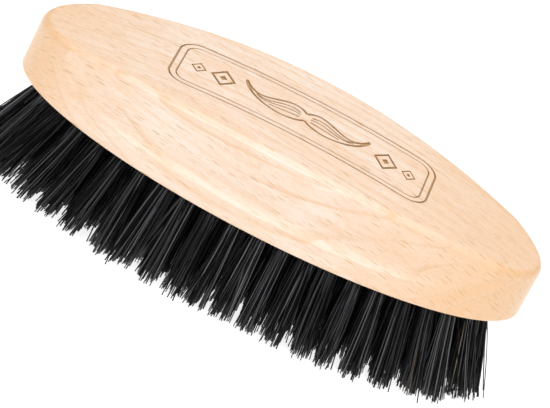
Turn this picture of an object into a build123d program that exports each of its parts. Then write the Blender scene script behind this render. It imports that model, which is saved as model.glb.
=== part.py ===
from build123d import *
import math
import os

# Oval beard brush for the palm, in millimetres. One beech block has a domed top and a shallow
# finger cove along each long side. Blind holes are drilled in its flat underside, fanned a
# little outwards, and each holds a tuft of bristle folded over a flat-wire anchor.
# +Z is up and +X runs along the block. The origin is the middle of the plane in which the
# bristle tips are trimmed, so the brush stands on z = 0.

# Handle block
BLOCK_LENGTH = 120.0
BLOCK_WIDTH = 50.0
BLOCK_HEIGHT = 18.5
DOME_DROP = 5.7
BOTTOM_ROUND = 0.8
EDGE_ROUND = 1.9

# Finger coves, cut by a cutter whose plan is a large arc
RIDGE_HALF_WIDTH = 23.3
RIDGE_PLAN_RADIUS = 150.0
LIP_HEIGHT = 4.0
COVE_SAGITTA = 1.9
CUTTER_MARGIN = 12.0
CUTTER_ANGLE = 60.0

# Bristle tufts
BRISTLE_LENGTH = 22.3
ROOT_RADIUS = 1.65
TIP_RADIUS = 2.4
TIP_SPREAD_X = 8.0
TIP_SPREAD_Y = 3.0
SPREAD_POWER = 1.6

# Layout of the tufts: three oval rings round a core of two short rows and end singles
RING_STEP = 5.6
RING_LONG_RADIUS = 51.8
RING_SHORT_RADIUS = 19.5
RING_NAMES = ("outer", "second", "third")
RING_COUNTS = (42, 36, 30)
RING_END_X = 36.0
CORE_ROW_COUNT = 9
CORE_ROW_Y = 2.8
CORE_PITCH = 5.64
CORE_SINGLES_X = (27.9, 33.4)

# Drilled holes and flat-wire anchors
HOLE_RADIUS = 1.7
HOLE_DEPTH = 8.0
ANCHOR_LENGTH = 4.0
ANCHOR_THICKNESS = 0.4
ANCHOR_HEIGHT = 1.6
FOLD_THICKNESS = 0.8

# Ornament engraved in the domed top
ENGRAVING_DEPTH = 0.4
FRAME_LENGTH = 62.0
FRAME_WIDTH = 21.0
FRAME_CORNER = 5.0
FRAME_GAP = 1.7
HEAVY_LINE = 0.7
BOLD_LINE = 0.5
FINE_LINE = 0.35
DIAMONDS = ((19.5, 6.0, 8.0), (25.2, 3.6, 4.8))

BASE_Z = BRISTLE_LENGTH
DOME_RADIUS = ((BLOCK_LENGTH / 2) ** 2 + DOME_DROP**2) / (2 * DOME_DROP)


def dome(inset=0.0):
    """The large cylinder that the top of the block is cut to, made smaller by inset."""
    centre_z = BASE_Z + BLOCK_HEIGHT - DOME_RADIUS
    return Pos(0, 0, centre_z) * Rot(90, 0, 0) * Cylinder(DOME_RADIUS - inset, BLOCK_LENGTH)


def cove_cutter():
    """A solid of revolution whose inner face is the front finger cove."""
    crease = Vector(RIDGE_PLAN_RADIUS, BASE_Z + BLOCK_HEIGHT)
    lip = Vector(RIDGE_PLAN_RADIUS + BLOCK_WIDTH / 2 - RIDGE_HALF_WIDTH, BASE_Z + LIP_HEIGHT)
    down = (lip - crease).normalized()
    inward = Vector(down.Y, -down.X)
    cove = ThreePointArc(crease, (crease + lip) / 2 + inward * COVE_SAGITTA, lip)
    start, end = cove % 0, cove % 1
    above = crease - start * (CUTTER_MARGIN / abs(start.Y))
    beyond = lip + end * (CUTTER_MARGIN / end.X)
    section = make_face(Curve() + [cove, Polyline(lip, beyond, (beyond.X, above.Y), above, crease)])
    solid = revolve(Plane.XZ * section, axis=Axis.Z, revolution_arc=CUTTER_ANGLE)
    turn = Rot(0, 0, -90 - CUTTER_ANGLE / 2)
    return Pos(0, RIDGE_PLAN_RADIUS - RIDGE_HALF_WIDTH, 0) * turn * solid


def shaped_block():
    """The beech block with its dome, coves and sanded edges, before drilling and engraving."""
    oval = extrude(Ellipse(BLOCK_LENGTH / 2, BLOCK_WIDTH / 2), BLOCK_HEIGHT + 1)
    block = Pos(0, 0, BASE_Z) * oval & dome()
    front_cutter = cove_cutter()
    block = block - front_cutter - Rot(0, 0, 180) * front_cutter
    bottom = block.edges().filter_by_position(Axis.Z, BASE_Z, BASE_Z)
    block = block.fillet(BOTTOM_ROUND, bottom)
    upper = [e for e in block.edges() if e.center().Z > BASE_Z + BOTTOM_ROUND and not is_seam(e)]
    return block.fillet(EDGE_ROUND, upper)


def is_seam(edge):
    """True for the straight upright seam that closes the oval wall."""
    return edge.geom_type == GeomType.LINE


def moustache():
    """A line-drawn handlebar moustache: both lobes, each with three inner strokes."""
    top = Spline((0, 1.7), (3.6, 3.4), (8.5, 1.0), (14.8, 4.2))
    bottom = Spline((14.8, 4.2), (10.2, -2.4), (4.6, -3.9), (0, -1.6))
    strokes = [Spline((1.4, 1.0), (4.4, 1.5), (8.8, -0.4), (12.8, 1.7))]
    strokes += [Spline((1.2, 0.0), (4.6, 0.1), (8.8, -1.2), (11.6, -0.2))]
    strokes += [Spline((1.4, -1.1), (4.6, -1.6), (8.4, -2.1))]
    lobe = Sketch() + [trace(line, HEAVY_LINE) for line in (top, bottom)]
    lobe += [trace(line, BOLD_LINE) for line in strokes]
    return lobe + mirror(lobe, Plane.YZ)


def diamond(x, width, height):
    """An outlined diamond with a small solid one inside it."""
    outer = scale(Rectangle(1, 1, rotation=45), (width / math.sqrt(2), height / math.sqrt(2), 1))
    inner = scale(outer, 0.74)
    core = scale(outer, 0.3)
    return Pos(x, 0) * (outer - inner + core)


def outline(length, width, corner, line):
    """A rounded rectangular line of the given thickness."""
    outer = RectangleRounded(length, width, corner)
    return outer - RectangleRounded(length - 2 * line, width - 2 * line, corner - line)


def ornament():
    """The flat drawing of the engraving, centred on the block."""
    drawing = outline(FRAME_LENGTH, FRAME_WIDTH, FRAME_CORNER, BOLD_LINE)
    inner_length, inner_width = FRAME_LENGTH - 2 * FRAME_GAP, FRAME_WIDTH - 2 * FRAME_GAP
    drawing += outline(inner_length, inner_width, FRAME_CORNER - FRAME_GAP, FINE_LINE)
    drawing += moustache()
    for x, width, height in DIAMONDS:
        drawing += diamond(x, width, height)
        drawing += diamond(-x, width, height)
    return drawing


def engraving():
    """Solids that cut the ornament to an even depth below the dome."""
    prisms = Pos(0, 0, BASE_Z + BLOCK_HEIGHT / 2) * extrude(ornament(), BLOCK_HEIGHT)
    return prisms - dome(ENGRAVING_DEPTH)


def ring_points(ring, count):
    """Evenly spaced points round one oval ring, made in one quarter and mirrored."""
    inset = ring * RING_STEP
    long_radius, short_radius = RING_LONG_RADIUS - inset, RING_SHORT_RADIUS - inset
    quarter = EllipticalCenterArc((0, 0), long_radius, short_radius, arc_size=90)
    points = [(long_radius, 0), (-long_radius, 0)]
    for index in range(1, count // 4 + 1):
        place = quarter @ (4 * index / count)
        if index * 4 == count:
            points += [(0, short_radius), (0, -short_radius)]
        else:
            points += [(sx * place.X, sy * place.Y) for sx in (-1, 1) for sy in (-1, 1)]
    return points


def layout():
    """Tuft root positions, as a dictionary from group name to a list of (x, y)."""
    groups = {}
    for ring, (name, count) in enumerate(zip(RING_NAMES, RING_COUNTS)):
        for x, y in ring_points(ring, count):
            if abs(x) > RING_END_X - ring * RING_STEP / 2:
                side = "right" if x > 0 else "left"
            else:
                side = "back" if y > 0 else "front"
            groups.setdefault((name, side), []).append((x, y))
    middle = (CORE_ROW_COUNT - 1) / 2
    row = [(index - middle) * CORE_PITCH for index in range(CORE_ROW_COUNT)]
    groups["core", "front"] = [(x, -CORE_ROW_Y) for x in row]
    groups["core", "back"] = [(x, CORE_ROW_Y) for x in row]
    groups["core", "ends"] = [(sign * x, 0) for x in CORE_SINGLES_X for sign in (-1, 1)]
    return groups


def tuft_plane(x, y):
    """Local plane of a tuft: origin at the hole's mouth, z along the axis into the block."""
    reach = math.copysign((abs(x) / RING_LONG_RADIUS) ** SPREAD_POWER, x)
    lean = Vector(TIP_SPREAD_X * reach, TIP_SPREAD_Y * y / RING_SHORT_RADIUS, -BRISTLE_LENGTH)
    return Plane(origin=(x, y, BASE_Z), x_dir=(1, 0, -lean.X / lean.Z), z_dir=-lean)


def anchor(plane):
    """Flat wire across the hole near its bottom, its ends biting into the wood."""
    depth = HOLE_DEPTH - FOLD_THICKNESS - ANCHOR_HEIGHT / 2
    return plane * Pos(0, 0, depth) * Box(ANCHOR_LENGTH, ANCHOR_THICKNESS, ANCHOR_HEIGHT)


def hole(plane):
    """Blind hole, with enough length outside the underside to open its mouth fully."""
    length = HOLE_DEPTH + 2 * HOLE_RADIUS
    return plane * Pos(0, 0, HOLE_DEPTH - length / 2) * Cylinder(HOLE_RADIUS, length)


def tuft(plane):
    """Bristle bundle: a straight root in the hole, then a flare trimmed flat at z = 0."""
    flare_length = BRISTLE_LENGTH * 1.15
    end_radius = ROOT_RADIUS + (TIP_RADIUS - ROOT_RADIUS) * flare_length / BRISTLE_LENGTH
    half = Polyline(
        (0, HOLE_DEPTH),
        (ROOT_RADIUS, HOLE_DEPTH),
        (ROOT_RADIUS, 0),
        (end_radius, -flare_length),
        (0, -flare_length),
        close=True,
    )
    bundle = plane * revolve(Plane.XZ * make_face(half), axis=Axis.Z)
    return split(bundle, Plane.XY, keep=Keep.TOP) - anchor(plane)


def save(name, solids):
    """Write one node, made of one or more separate solids."""
    export_step(Compound(label=name, children=list(solids)), f"parts/{name}.step")


def main():
    os.makedirs("parts", exist_ok=True)
    block = shaped_block() - engraving()
    cuts = []
    for (ring, side), points in layout().items():
        planes = [tuft_plane(x, y) for x, y in points]
        anchors = [anchor(plane) for plane in planes]
        cuts += anchors + [hole(plane) for plane in planes]
        save(f"{ring}_tufts_{side}", [tuft(plane) for plane in planes])
        save(f"{ring}_anchors_{side}", anchors)
    save("handle_block", [block - cuts])


main()
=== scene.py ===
import math

import bpy
import numpy as np
from mathutils import Matrix, Vector


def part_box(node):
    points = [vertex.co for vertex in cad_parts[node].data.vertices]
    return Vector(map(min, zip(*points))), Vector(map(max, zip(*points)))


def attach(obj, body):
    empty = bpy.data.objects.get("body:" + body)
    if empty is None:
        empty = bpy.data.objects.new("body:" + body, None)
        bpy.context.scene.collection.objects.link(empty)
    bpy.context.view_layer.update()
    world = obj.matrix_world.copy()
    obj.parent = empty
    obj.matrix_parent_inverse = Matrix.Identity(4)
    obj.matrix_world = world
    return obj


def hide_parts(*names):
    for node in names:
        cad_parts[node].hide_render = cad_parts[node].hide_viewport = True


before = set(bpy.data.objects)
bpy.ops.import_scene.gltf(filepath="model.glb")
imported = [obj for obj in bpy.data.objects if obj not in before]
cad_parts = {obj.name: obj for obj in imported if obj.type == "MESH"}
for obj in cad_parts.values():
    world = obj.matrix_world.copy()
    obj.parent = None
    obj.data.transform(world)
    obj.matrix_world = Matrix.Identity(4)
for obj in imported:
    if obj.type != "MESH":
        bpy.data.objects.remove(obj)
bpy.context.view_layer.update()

MM = 0.001

# Camera: degrees round and above the brush, and turned about its own axis
VIEW_AZIMUTH = -0.5
VIEW_ELEVATION = 26.9
VIEW_ROLL = 27.5
VIEW_DISTANCE = 0.935
VIEW_AIM = Vector((2.7 * MM, -1.2 * MM, 19.6 * MM))
LENS_MM = 283.5

# Soft boxes: place, width and height, and power in watts
KEY_LIGHT = ((-0.06, -0.76, 0.60), (1.15, 0.28), 3.5)
KEY_COLOUR = (0.90, 0.95, 1.0)
TOP_LIGHT = ((0.0, -0.02, 0.95), (0.6, 0.6), 6.3)
FILL_LIGHT = ((0.7, -0.5, 0.35), (0.6, 0.6), 0.4)
SKY_STRENGTH = 0.45

# White paper floor, which glows so that it stays white round the brush; its tooth is per metre
FLOOR_HALF_SIZE = 4.0
FLOOR_DARK = (0.44, 0.44, 0.44)
FLOOR_LIGHT = (0.48, 0.48, 0.48)
FLOOR_TOOTH = (900.0, 900.0, 900.0)
FLOOR_GLOW = 0.82

# Beech: the fibres run along GRAIN, and the rays run to the back and dip
RAY_DIP = math.radians(36)
RAY = Vector((0, math.cos(RAY_DIP), -math.sin(RAY_DIP)))
GRAIN = Vector((1, -0.1, -0.075)).normalized()
TANGENT = GRAIN.cross(RAY).normalized()
RADIAL = TANGENT.cross(GRAIN)

WOOD_PALE = (0.838, 0.685, 0.565)
WOOD_WARM = (0.815, 0.580, 0.415)
WOOD_END = (0.800, 0.490, 0.260)
WOOD_RING = (0.735, 0.465, 0.255)
WOOD_FIBRE = (0.720, 0.520, 0.350)
WOOD_RAY = (0.560, 0.300, 0.090)
WOOD_BURNT = (0.420, 0.270, 0.125)

# Frequencies of the wood's noises, per millimetre along the grain, round the rings and across them
SWAY_NOISE = (0.02, 0.06, 0.06)
CLOUD_NOISE = (0.04, 0.13, 0.13)
STREAK_NOISE = (0.05, 0.9, 0.9)
FIBRE_NOISE = (0.35, 5.0, 5.0)
RING_STRENGTH_NOISE = (0.03, 0.12, 0.35)

# Smooth steps of the wood's figure: from and to, and the share of the effect at each
CLOUD_WARMTH = (0.36, 0.66, 0.0, 0.6)
STREAK_WARMTH = (0.42, 0.68, 0.0, 0.7)
END_BY_PLACE = (18.0, 64.0, 0.0, 0.6)
END_BY_FACING = (0.12, 0.75, 0.0, 0.7)
FIBRE_SHARE = (0.5, 0.75, 0.0, 0.25)
RING_STRENGTH = (0.38, 0.7, 0.22, 0.8)
RAY_SHARE = (0.1, 0.95, 0.1, 0.85)
SMALL_RAY_SHARE = (0.1, 1.0, 0.05, 0.65)

# Sway of the grain, and the place along the block where its colour is palest, in millimetres
SWAY = 5.0
PALE_CENTRE = -9.0

# Growth rings: their width, shift and unevenness in millimetres, and the parts of one ring's phase
# The shift sets where the rings fall: their darkening just under the ridge is painted shade, and
# their pale part low on the cove is a painted highlight, over the real grain
RING_WIDTH = 3.0
RING_SHIFT_FOR_PAINTED_LIGHT = 2.6
RING_UNEVENNESS = 2.6
RING_UNEVEN_FREQUENCY = 0.22
RING_LINE_STARTS = (0.72, 0.95)
RING_LINE_ENDS = (1.0, 0.96)
RING_DARKENS = (0.2, 0.97)
RING_DARKENING = 0.25

# Rays: the cells that hold one spindle each, the spindles' half sizes, and where their edge is soft
RAY_CELL = (3.8, 0.66, 5.0)
RAY_HALF_SIZE = (1.7, 0.10, 2.3)
SMALL_RAY_CELL = (2.0, 0.27, 2.1)
SMALL_RAY_HALF_SIZE = (0.95, 0.045, 1.0)
RAY_EDGE = (1.0, 0.45)

# Engraving: the dome's drop at the block's ends, the engraved area, and the depths that are burnt
DOME_DROP = 5.7
ENGRAVED_HALF_LENGTH = 31.5
ENGRAVED_HALF_WIDTH = 11.0
BURNT_DEPTH = (0.06, 0.3)

# The wood's relief and gloss
FIBRE_HEIGHT = 0.25
RAY_HEIGHT = 0.35
BUMP_DISTANCE = 0.04 * MM
BUMP_STRENGTH = 0.5
WOOD_ROUGHNESS = 0.23
FIBRE_ROUGHNESS = 0.12
BURNT_ROUGHNESS = 0.3
WOOD_SPECULAR = 0.85

# Steel wire of the anchors, with its noise's frequencies per metre
WIRE_NOISE = (300.0, 9000.0, 9000.0)
WIRE_DARK = (0.50, 0.49, 0.46)
WIRE_LIGHT = (0.68, 0.66, 0.62)
WIRE_ROUGHNESS = (0.3, 0.7, 0.25, 0.5)

# Tones of bristle: name, share of the hairs, root and tip colour, roughness and specular level
BRISTLE_TONES = (
    ("bristle_black", 0.50, (0.0018, 0.0018, 0.0021), (0.006, 0.005, 0.005), 0.36, 0.14),
    ("bristle_dark", 0.28, (0.007, 0.007, 0.008), (0.018, 0.016, 0.015), 0.33, 0.42),
    # The grey and light tones are partly the hairs' own grey and partly painted sheen: their paler
    # colour stands for streaks of light along glossy black hairs
    ("bristle_grey", 0.13, (0.040, 0.040, 0.046), (0.055, 0.052, 0.052), 0.30, 0.6),
    ("bristle_light", 0.08, (0.110, 0.110, 0.118), (0.140, 0.135, 0.130), 0.30, 0.6),
    ("bristle_brown", 0.007, (0.09, 0.06, 0.035), (0.17, 0.12, 0.08), 0.4, 0.5),
    ("bristle_pale", 0.003, (0.45, 0.36, 0.24), (0.60, 0.52, 0.40), 0.4, 0.5),
)

# Drift of the bristle's colour and roughness, with frequencies per metre, and its paler tips
DRIFT_NOISE = (2600.0, 2600.0, 160.0)
DRIFT_SHARE = (0.42, 0.72, 0.0, 0.5)
DRIFT_GLOSS = (0.3, 0.7)
DRIFT_ROUGHNESS = 0.22
TIP_SHARE = (5.0 * MM, 0.5 * MM, 0.0, 0.5)

# Hairs: their thickness varies about the radius, and they start inside the hole. FLARE_POWER bends
# the way from root to tip, and LONGEST_SHARE caps it for a hair that would pass z = 0.
FIRST_SEED = 100
HAIRS_PER_TUFT = 110
HAIR_RADIUS = 0.155 * MM
HAIR_THICKNESS = (0.75, 1.15)
HAIR_SIDES = 3
HAIR_STEPS = 6
NO_HAIR_POINTS_HERE = (0.0, 1.0, 0.03)
HIDDEN_ROOT = 2.0 * MM
BOW = 0.28 * MM
FLARE_POWER = 1.15
LONGEST_SHARE = 1.1

# Places of the hairs across a tuft's axis, at the root and at the tip. TURN_RANGE, in radians,
# turns each tuft's pattern by a different amount.
TURN_RANGE = 6.0
ROOT_DISC = 1.55 * MM
ROOT_SCATTER = 0.05 * MM
TIP_DISC = 2.75 * MM
TIP_SCATTER = 0.38 * MM
CLUMPS = 7
CLUMP_PLACE = 0.85
CLUMP_PULL = 0.42
WEAKEST_PULL = 0.2
STRAY_SHARE = 0.07
STRAY_SCATTER = 1.7 * MM
TUFT_LEAN = 0.5 * MM

# Reaches of the tuft field to its ends and sides, and how far its end tufts are combed outwards
END_REACH = 52 * MM
SIDE_REACH = 20 * MM
COMBED = 0.9 * MM

# Heights of the hairs' ends above the floor, as trimmed, longer or shorter
TRIM_HEIGHT = 1.3 * MM
TUFT_TRIM_SCATTER = 0.25 * MM
CLUMP_TRIM_SCATTER = 0.35 * MM
HAIR_TRIM_SCATTER = 0.9 * MM
LONGER_SHARE = 0.17
LONGER_HEIGHT = (0.2 * MM, 0.8 * MM)
LONGER_OUTWARD = (0.2 * MM, 2.6 * MM)
SHORTER_SHARE = 0.16
SHORTER_BY = (0.8 * MM, 4.5 * MM)
FLOOR_CLEARANCE = 0.2 * MM

# Reading the CAD tufts: vertices this near each other are one, and tips are this near z = 0. The
# end in the hole is read from the highest eighth of a tuft's vertices.
SAME_VERTEX = 0.002 * MM
TRIM_PLANE = 0.02 * MM
FEWEST_TOP_VERTICES = 3
TOP_PART = 8


class Tree:
    """A material's node tree, with one short call per node."""

    def __init__(self, name):
        self.material = bpy.data.materials.new(name)
        self.material.use_nodes = True
        self.nodes = self.material.node_tree.nodes
        self.links = self.material.node_tree.links
        self.shader = self.nodes["Principled BSDF"]

    def set(self, socket, value):
        """Links the socket to another node's output, or gives it a constant."""
        if isinstance(value, bpy.types.NodeSocket):
            self.links.new(value, socket)
        elif socket.type == "RGBA" and len(value) == 3:
            socket.default_value = (*value, 1)
        else:
            socket.default_value = value

    def node(self, kind, inputs=(), **settings):
        """Adds a node, sets its properties, and fills its inputs by name or number."""
        made = self.nodes.new(kind)
        for key, value in settings.items():
            setattr(made, key, value)
        for key, value in dict(inputs).items():
            self.set(made.inputs[key], value)
        return made

    def coordinates(self, kind):
        """The object's own coordinates, or its normal."""
        return self.node("ShaderNodeTexCoord").outputs[kind]

    def math(self, operation, *values, clamp=False):
        made = self.node("ShaderNodeMath", enumerate(values), operation=operation, use_clamp=clamp)
        return made.outputs[0]

    def vector(self, operation, *values):
        made = self.node("ShaderNodeVectorMath", enumerate(values), operation=operation)
        return made.outputs["Value" if operation in ("DOT_PRODUCT", "LENGTH") else "Vector"]

    def noise(self, where, frequencies, detail):
        """Noise with its own frequency along each axis."""
        where = self.vector("MULTIPLY", where, frequencies)
        inputs = {"Vector": where, "Scale": 1.0, "Detail": detail}
        return self.node("ShaderNodeTexNoise", inputs).outputs[0]

    def step(self, value, low, high, start=0.0, end=1.0):
        """Smooth step from start, where value is low, to end, where it is high."""
        inputs = {0: value, 1: low, 2: high, 3: start, 4: end}
        return self.node("ShaderNodeMapRange", inputs, interpolation_type="SMOOTHSTEP").outputs[0]

    def mix(self, share, first, second):
        """Colour that goes from first to second as share goes from 0 to 1."""
        made = self.node("ShaderNodeMix", data_type="RGBA")
        self.set(made.inputs["Factor"], share)
        self.set(made.inputs[6], first)
        self.set(made.inputs[7], second)
        return made.outputs[2]

    def principled(self, **values):
        """Fills the shader's sockets, and returns the finished material."""
        for name, value in values.items():
            self.set(self.shader.inputs[name.replace("_", " ")], value)
        return self.material


def beech_material():
    """Pale beech: growth rings, ray flecks, fine fibre, warmer ends and burnt engraving."""
    tree = Tree("beech")
    place = tree.coordinates("Object")
    grain_space, radial = grain_coordinates(tree, place)

    cloud = tree.noise(grain_space, CLOUD_NOISE, 3.0)
    streak = tree.noise(grain_space, STREAK_NOISE, 2.0)
    warmth = tree.math("ADD", tree.step(cloud, *CLOUD_WARMTH), tree.step(streak, *STREAK_WARMTH))
    wood = tree.mix(warmth, WOOD_PALE, WOOD_WARM)
    wood = tree.mix(end_warmth(tree, place), wood, WOOD_END)

    line, darkening = growth_rings(tree, grain_space, radial)
    wood = tree.mix(darkening, wood, WOOD_WARM)
    wood = tree.mix(line, wood, WOOD_RING)
    fibre = tree.noise(grain_space, FIBRE_NOISE, 3.0)
    wood = tree.mix(tree.step(fibre, *FIBRE_SHARE), wood, WOOD_FIBRE)
    flecks = ray_flecks(tree, grain_space)
    wood = tree.mix(flecks, wood, WOOD_RAY)
    burnt = engraved(tree, place)
    wood = tree.mix(burnt, wood, WOOD_BURNT)

    raised = tree.math("MULTIPLY", fibre, FIBRE_HEIGHT)
    height = tree.math("SUBTRACT", raised, tree.math("MULTIPLY", flecks, RAY_HEIGHT))
    inputs = {"Height": height, "Distance": BUMP_DISTANCE, "Strength": BUMP_STRENGTH}
    bump = tree.node("ShaderNodeBump", inputs).outputs[0]
    rough = tree.math("ADD", WOOD_ROUGHNESS, tree.math("MULTIPLY", fibre, FIBRE_ROUGHNESS))
    charred = tree.math("MULTIPLY", burnt, BURNT_ROUGHNESS)
    rough = tree.math("ADD", rough, charred, clamp=True)
    return tree.principled(
        Base_Color=wood, Roughness=rough, Normal=bump, Specular_IOR_Level=WOOD_SPECULAR
    )


def grain_coordinates(tree, place):
    """Millimetres along the grain, round the rings and across them, which sway; and the last."""
    axes = [
        tree.vector("DOT_PRODUCT", place, tuple(axis / MM)) for axis in (GRAIN, TANGENT, RADIAL)
    ]
    straight = tree.node("ShaderNodeCombineXYZ", enumerate(axes)).outputs[0]
    sway = tree.noise(straight, SWAY_NOISE, 1.0)
    sway = tree.math("MULTIPLY", tree.math("SUBTRACT", sway, 0.5), SWAY)
    tangent = tree.math("ADD", axes[1], sway)
    radial = tree.math("ADD", axes[2], sway)
    swaying = tree.node("ShaderNodeCombineXYZ", {0: axes[0], 1: tangent, 2: radial})
    return swaying.outputs[0], radial


def end_warmth(tree, place):
    """Share of the warmer end grain, far from the pale middle and where a face cuts the fibres."""
    along = tree.vector("DOT_PRODUCT", place, (1 / MM, 0, 0))
    reach = tree.math("ABSOLUTE", tree.math("SUBTRACT", along, PALE_CENTRE))
    normal = tree.coordinates("Normal")
    facing = tree.math("ABSOLUTE", tree.vector("DOT_PRODUCT", normal, tuple(GRAIN)))
    return tree.math("ADD", tree.step(reach, *END_BY_PLACE), tree.step(facing, *END_BY_FACING))


def growth_rings(tree, grain_space, radial):
    """The thin dark line that ends each year's ring, and the slow darkening before it."""
    # The shift lays the rings so that they also paint shade under the ridge and a highlight low on
    # the cove
    inputs = {"W": radial, "Scale": RING_UNEVEN_FREQUENCY, "Detail": 1.0}
    uneven = tree.node("ShaderNodeTexNoise", inputs, noise_dimensions="1D").outputs[0]
    shift = tree.math("MULTIPLY_ADD", uneven, RING_UNEVENNESS, RING_SHIFT_FOR_PAINTED_LIGHT)
    phase = tree.math("FRACT", tree.math("DIVIDE", tree.math("ADD", radial, shift), RING_WIDTH))
    starts = tree.step(phase, *RING_LINE_STARTS)
    line = tree.math("MULTIPLY", starts, tree.step(phase, *RING_LINE_ENDS))
    strength = tree.step(tree.noise(grain_space, RING_STRENGTH_NOISE, 1.0), *RING_STRENGTH)
    darkening = tree.math("MULTIPLY", tree.step(phase, *RING_DARKENS), RING_DARKENING)
    return tree.math("MULTIPLY", line, strength), darkening


def ray_flecks(tree, grain_space):
    """Share of the dark ray flecks, large and small."""
    rays, chance = spindles(tree, grain_space, RAY_CELL, RAY_HALF_SIZE)
    rays = tree.math("MULTIPLY", rays, tree.step(chance, *RAY_SHARE))
    small, chance = spindles(tree, grain_space, SMALL_RAY_CELL, SMALL_RAY_HALF_SIZE)
    small = tree.math("MULTIPLY", small, tree.step(chance, *SMALL_RAY_SHARE))
    return tree.math("MAXIMUM", rays, small)


def spindles(tree, grain_space, cell, half_size):
    """Mask of thin spindles, one in each random cell, and each cell's random number."""
    scaled = tree.vector("DIVIDE", grain_space, cell)
    cells = tree.node("ShaderNodeTexVoronoi", {"Vector": scaled, "Scale": 1.0, "Randomness": 1.0})
    offset = tree.vector("SUBTRACT", scaled, cells.outputs["Position"])
    stretch = Vector([c / h for c, h in zip(cell, half_size)])
    distance = tree.vector("LENGTH", tree.vector("MULTIPLY", offset, stretch))
    chance = tree.node("ShaderNodeSeparateColor", {0: cells.outputs["Color"]}).outputs[0]
    return tree.step(distance, *RAY_EDGE), chance


def engraved(tree, place):
    """1 in the engraved lines, which lie below the domed top's cylinder, and 0 elsewhere."""
    low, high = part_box("handle_block")
    half_length = (high.x - low.x) / 2 / MM
    radius = (half_length**2 + DOME_DROP**2) / (2 * DOME_DROP)
    millimetres = tree.vector("DIVIDE", place, (MM, MM, MM))
    x, y, z = tree.node("ShaderNodeSeparateXYZ", {0: millimetres}).outputs
    across = tree.math("SUBTRACT", radius**2, tree.math("MULTIPLY", x, x))
    dome = tree.math("ADD", tree.math("SQRT", across), high.z / MM - radius)
    depth = tree.math("SUBTRACT", dome, z)
    inside_x = tree.math("LESS_THAN", tree.math("ABSOLUTE", x), ENGRAVED_HALF_LENGTH)
    inside_y = tree.math("LESS_THAN", tree.math("ABSOLUTE", y), ENGRAVED_HALF_WIDTH)
    inside = tree.math("MULTIPLY", inside_x, inside_y)
    return tree.math("MULTIPLY", tree.step(depth, *BURNT_DEPTH), inside)


def wire_material():
    """Drawn flat steel wire with fine marks along its length."""
    tree = Tree("anchor_wire")
    marks = tree.noise(tree.coordinates("Object"), WIRE_NOISE, 3.0)
    return tree.principled(
        Base_Color=tree.mix(marks, WIRE_DARK, WIRE_LIGHT),
        Roughness=tree.step(marks, *WIRE_ROUGHNESS),
        Metallic=1.0,
    )


def hair_material(name, root, tip, roughness, specular):
    """Boar bristle: its colour and gloss drift along and between hairs, and its tip is paler."""
    tree = Tree(name)
    place = tree.coordinates("Object")
    drift = tree.noise(place, DRIFT_NOISE, 2.0)
    height = tree.node("ShaderNodeSeparateXYZ", {0: place}).outputs[2]
    near_tip = tree.step(height, *TIP_SHARE)
    share = tree.math("ADD", tree.step(drift, *DRIFT_SHARE), near_tip, clamp=True)
    rough = tree.step(drift, *DRIFT_GLOSS, roughness, roughness + DRIFT_ROUGHNESS)
    tree.material.diffuse_color = (*root, 1)
    return tree.principled(
        Base_Color=tree.mix(share, root, tip), Roughness=rough, Specular_IOR_Level=specular
    )


def plain(material):
    """A copy of a bristle material with its root's colour in place of its pattern."""
    copy = material.copy()
    copy.name = material.name + "_plain"
    shader = copy.node_tree.nodes["Principled BSDF"]
    for name in ("Base Color", "Roughness"):
        for link in shader.inputs[name].links:
            copy.node_tree.links.remove(link)
    shader.inputs["Base Color"].default_value = material.diffuse_color
    return copy


def dress(piece, materials):
    """Puts the patterned materials on the object's own slots, over the mesh's plain ones."""
    for slot, material in zip(piece.material_slots, materials):
        slot.link = "OBJECT"
        slot.material = material


def islands(mesh):
    """Vertex coordinates of each separate solid in a CAD node's mesh."""
    co = np.array([v.co for v in mesh.vertices])
    rounded = np.round(co / SAME_VERTEX).astype(np.int64)
    keys, same = np.unique(rounded, axis=0, return_inverse=True)
    same = same.reshape(-1)
    parent = list(range(len(keys)))

    def find(i):
        while parent[i] != i:
            parent[i] = parent[parent[i]]
            i = parent[i]
        return i

    for edge in mesh.edges:
        a, b = find(same[edge.vertices[0]]), find(same[edge.vertices[1]])
        if a != b:
            parent[a] = b
    groups = {}
    for index, key in enumerate(same):
        groups.setdefault(find(key), []).append(index)
    return [co[members] for members in groups.values()]


def tuft_axes(node, mouth_z):
    """Mouth point and unit direction, from wood to tip, of each tuft in a CAD node."""
    found = []
    for co in islands(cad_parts[node].data):
        tip = co[co[:, 2] < TRIM_PLANE]
        top_count = max(FEWEST_TOP_VERTICES, len(co) // TOP_PART)
        top = co[np.argsort(-co[:, 2])[:top_count]]
        tip = (tip.min(0) + tip.max(0)) / 2
        root_end = (top.min(0) + top.max(0)) / 2
        direction = (tip - root_end) / np.linalg.norm(tip - root_end)
        mouth = tip - direction * (tip[2] - mouth_z) / direction[2]
        found.append((mouth, direction))
    return sorted(found, key=lambda pair: tuple(pair[0]))


def tip_places(rng, disc):
    """Each hair's tip across the tuft's axis, drawn to its nearest clump; and that clump."""
    count = len(disc)
    tip = disc * TIP_DISC + rng.normal(0, TIP_SCATTER, (count, 2))
    clumps = rng.uniform(-CLUMP_PLACE, CLUMP_PLACE, (CLUMPS, 2)) * TIP_DISC
    nearest = np.linalg.norm(tip[:, None] - clumps, axis=2).argmin(1)
    pull = CLUMP_PULL * rng.uniform(WEAKEST_PULL, 1.0, CLUMPS)[nearest, None]
    tip += (clumps[nearest] - tip) * pull
    stray = rng.random(count) < STRAY_SHARE
    tip[stray] += rng.normal(0, STRAY_SCATTER, (stray.sum(), 2))
    tip += rng.normal(0, TUFT_LEAN, 2)
    return tip, nearest


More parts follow.
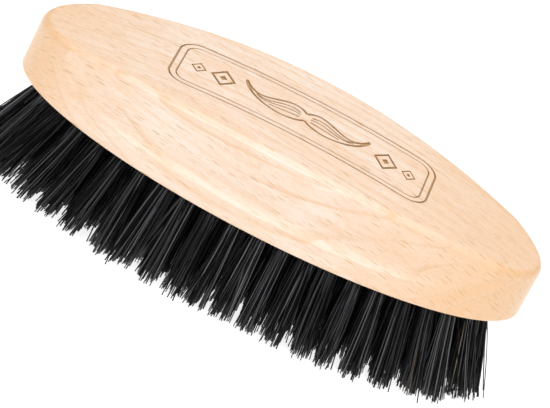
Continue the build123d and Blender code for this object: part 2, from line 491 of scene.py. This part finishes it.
def trimmed_ends(rng, tip, nearest, outward):
    """Height of each hair's end; the longer hairs' tips, in tip, also move outwards."""
    count = len(tip)
    height = TRIM_HEIGHT + rng.normal(0, TUFT_TRIM_SCATTER)
    end = height + rng.normal(0, CLUMP_TRIM_SCATTER, CLUMPS)[nearest]
    end = end + rng.normal(0, HAIR_TRIM_SCATTER, count)
    longer = rng.random(count) < LONGER_SHARE
    end[longer] = rng.uniform(*LONGER_HEIGHT, longer.sum())
    tip[longer] += outward * rng.uniform(*LONGER_OUTWARD, (longer.sum(), 1))
    shorter = rng.random(count) < SHORTER_SHARE
    end[shorter] += rng.uniform(*SHORTER_BY, shorter.sum())
    return np.maximum(end, FLOOR_CLEARANCE)


def tuft_hairs(rng, mouth, direction):
    """Centre lines of one tuft's hairs, an array of hairs x steps x 3."""
    side = np.cross(direction, (0.0, 1.0, 0.0))
    side /= np.linalg.norm(side)
    other = np.cross(direction, side)
    count = HAIRS_PER_TUFT
    golden_angle = math.pi * (3 - math.sqrt(5))
    turn = np.arange(count) * golden_angle + rng.uniform(0, TURN_RANGE)
    reach = np.sqrt((np.arange(count) + 0.5) / count)
    disc = np.stack([reach * np.cos(turn), reach * np.sin(turn)], 1)
    root = disc * ROOT_DISC + rng.normal(0, ROOT_SCATTER, (count, 2))
    tip, nearest = tip_places(rng, disc)
    tip[:, 0] += COMBED * (mouth[0] / END_REACH) ** 2 * -math.copysign(1, side[0])
    bow = rng.normal(0, BOW, (count, 2))
    outward = np.array([mouth[0] * side[0] / END_REACH**2, mouth[1] * other[1] / SIDE_REACH**2])
    outward /= np.linalg.norm(outward)
    end = trimmed_ends(rng, tip, nearest, outward)

    full = mouth[2] / -direction[2]
    length = (mouth[2] - end) / -direction[2]
    steps = np.linspace(0, 1, HAIR_STEPS)[None, :]
    along = -HIDDEN_ROOT + steps * (length + HIDDEN_ROOT)[:, None]
    share = np.clip(along / full, 0, LONGEST_SHARE)
    spread = (share**FLARE_POWER)[..., None]
    arc = np.sin(np.pi * np.clip(share, 0, 1))[..., None]
    offset = root[:, None] * (1 - spread) + tip[:, None] * spread + bow[:, None] * arc
    line = mouth + along[..., None] * direction
    line = line + offset[..., :1] * side + offset[..., 1:] * other
    line[..., 2] = np.maximum(line[..., 2], FLOOR_CLEARANCE)
    return line


def hair_mesh(name, lines, tones, rng):
    """Thin tubes along the lines, with flat ends, as one mesh."""
    count, steps, _ = lines.shape
    tangent = np.gradient(lines, axis=1)
    tangent /= np.linalg.norm(tangent, axis=2, keepdims=True)
    first = np.cross(tangent, NO_HAIR_POINTS_HERE)
    first /= np.linalg.norm(first, axis=2, keepdims=True)
    second = np.cross(tangent, first)
    corners = np.arange(HAIR_SIDES) * 2 * math.pi / HAIR_SIDES
    angle = rng.uniform(0, 2 * math.pi, (count, 1, 1)) + corners
    radius = HAIR_RADIUS * rng.uniform(*HAIR_THICKNESS, (count, 1, 1))
    ring = first[:, :, None] * (np.cos(angle) * radius)[..., None]
    ring = ring + second[:, :, None] * (np.sin(angle) * radius)[..., None]
    points = (lines[:, :, None] + ring).reshape(-1, 3)

    index = np.arange(count * steps * HAIR_SIDES).reshape(count, steps, HAIR_SIDES)
    a, b = index[:, :-1], index[:, 1:]
    sides = np.stack([a, np.roll(a, -1, 2), np.roll(b, -1, 2), b], -1).reshape(-1, 4)
    ends = np.concatenate([index[:, 0, ::-1], index[:, -1]]).reshape(-1, HAIR_SIDES)
    mesh = bpy.data.meshes.new(name)
    mesh.from_pydata(points.tolist(), [], sides.tolist() + ends.tolist())
    sides_per_hair = (steps - 1) * HAIR_SIDES
    slots = np.concatenate([np.repeat(tones, sides_per_hair), np.tile(tones, 2)])
    mesh.polygons.foreach_set("material_index", slots.astype(np.int32))
    smooth = np.ones(len(slots), bool)
    smooth[len(sides):] = False
    mesh.polygons.foreach_set("use_smooth", smooth)
    mesh.update()
    return mesh


def bristles(node, seed, materials, mouth_z):
    """The hairs of one group of tufts, in place of its plain CAD solids."""
    rng = np.random.default_rng(seed)
    lines = np.concatenate([tuft_hairs(rng, *axis) for axis in tuft_axes(node, mouth_z)])
    shares = [share for _, share, *_ in BRISTLE_TONES]
    tones = rng.choice(len(materials), len(lines), p=shares)
    name = node.replace("tufts", "bristles")
    piece = bpy.data.objects.new(name, hair_mesh(name, lines, tones, rng))
    for material in materials:
        piece.data.materials.append(plain(material))
    bpy.context.scene.collection.objects.link(piece)
    dress(piece, materials)
    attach(piece, "root")
    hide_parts(node)


def add_camera():
    """Camera at the aim's distance, turned about its own axis so that the brush lies aslant."""
    azimuth, elevation = math.radians(VIEW_AZIMUTH), math.radians(VIEW_ELEVATION)
    back = Vector((
        math.sin(azimuth) * math.cos(elevation),
        -math.cos(azimuth) * math.cos(elevation),
        math.sin(elevation),
    ))
    camera = bpy.data.objects.new("camera", bpy.data.cameras.new("camera"))
    camera.data.lens = LENS_MM
    camera.data.clip_start = 0.01
    roll = Matrix.Rotation(math.radians(VIEW_ROLL), 3, "Z")
    turn = back.to_track_quat("Z", "Y").to_matrix() @ roll
    camera.matrix_world = Matrix.Translation(VIEW_AIM + back * VIEW_DISTANCE) @ turn.to_4x4()
    bpy.context.scene.collection.objects.link(camera)
    bpy.context.scene.camera = camera


def add_light(name, place, size, power, colour=(1, 1, 1)):
    """Soft box of the given width and height, aimed at the brush."""
    data = bpy.data.lights.new(name, "AREA")
    data.shape = "RECTANGLE"
    data.energy = power
    data.color = colour
    data.size, data.size_y = size
    light = bpy.data.objects.new(name, data)
    place = Vector(place)
    turn = (place - VIEW_AIM).to_track_quat("Z", "Y").to_matrix()
    light.matrix_world = Matrix.Translation(place) @ turn.to_4x4()
    bpy.context.scene.collection.objects.link(light)
    return light


def add_floor():
    """Plain white paper, which isn't part of the object."""
    far = FLOOR_HALF_SIZE
    corners = [(-far, -far, 0), (far, -far, 0), (far, far, 0), (-far, far, 0)]
    mesh = bpy.data.meshes.new("floor")
    mesh.from_pydata(corners, [], [(0, 1, 2, 3)])
    floor = bpy.data.objects.new("floor", mesh)
    bpy.context.scene.collection.objects.link(floor)
    tree = Tree("floor_paper")
    tooth = tree.noise(tree.coordinates("Object"), FLOOR_TOOTH, 3.0)
    tree.principled(
        Base_Color=tree.mix(tooth, FLOOR_DARK, FLOOR_LIGHT),
        Roughness=0.9,
        Specular_IOR_Level=0.1,
        Emission_Color=(1, 1, 1, 1),
        Emission_Strength=FLOOR_GLOW,
    )
    mesh.materials.append(tree.material)


def add_studio():
    """White floor and sky, and soft boxes in front, above and at the right."""
    add_floor()
    world = bpy.data.worlds.new("sky")
    world.use_nodes = True
    background = world.node_tree.nodes["Background"]
    background.inputs["Color"].default_value = (1, 1, 1, 1)
    background.inputs["Strength"].default_value = SKY_STRENGTH
    bpy.context.scene.world = world
    add_light("key", *KEY_LIGHT, KEY_COLOUR)
    add_light("top", *TOP_LIGHT).visible_glossy = False
    add_light("fill", *FILL_LIGHT)
    view = bpy.context.scene.view_settings
    view.view_transform = "Standard"
    view.look = "None"


add_camera()
add_studio()

dress(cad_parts["handle_block"], [beech_material()])
wire = wire_material()
hairs = [hair_material(name, *looks) for name, _, *looks in BRISTLE_TONES]
mouth_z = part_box("handle_block")[0].z
for number, node in enumerate(sorted(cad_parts)):
    if "anchors" in node:
        dress(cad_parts[node], [wire])
    elif "tufts" in node:
        bristles(node, FIRST_SEED + number, hairs, mouth_z)
